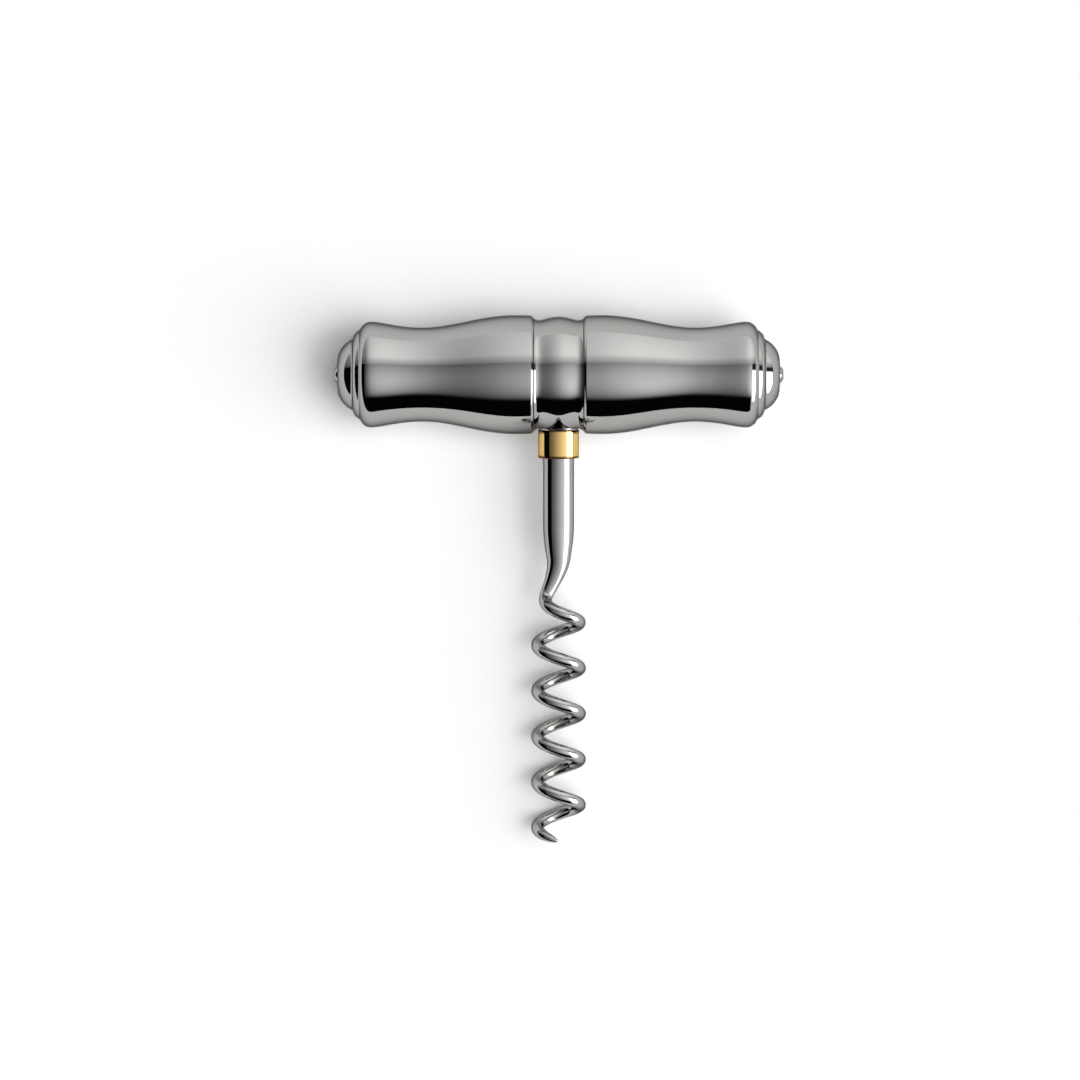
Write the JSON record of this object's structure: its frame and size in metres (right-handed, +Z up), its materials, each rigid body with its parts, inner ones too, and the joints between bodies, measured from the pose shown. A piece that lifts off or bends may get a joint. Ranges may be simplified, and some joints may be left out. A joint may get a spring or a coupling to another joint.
{
  "type": "corkscrew",
  "caption": "Direct-pull corkscrew: a turned metal T-handle with end caps and a brass ferrule, on a steel shank that ends in an open helical worm",
  "frame": {"origin": "On the surface that it lies on, under the middle of its box", "axes": "+Z up, away from the surface. The handle lies along X. The worm runs from the handle towards -Y, and slopes down by 4.15 degrees as it lies"},
  "size_m": [0.0898, 0.1056, 0.0238],
  "materials": {
    "handle_steel": "mirror polished",
    "rod_steel": "peened and polished",
    "worm_steel": "polished",
    "ferrule_brass": "polished"
  },
  "bodies": {
    "root": {"hub": "handle_steel", "left_grip": "handle_steel", "right_grip": "handle_steel", "left_end_cap": "handle_steel", "right_end_cap": "handle_steel", "tie_rod": "rod_steel", "ferrule": "ferrule_brass", "worm": "worm_steel"}
  },
  "joints": []
}
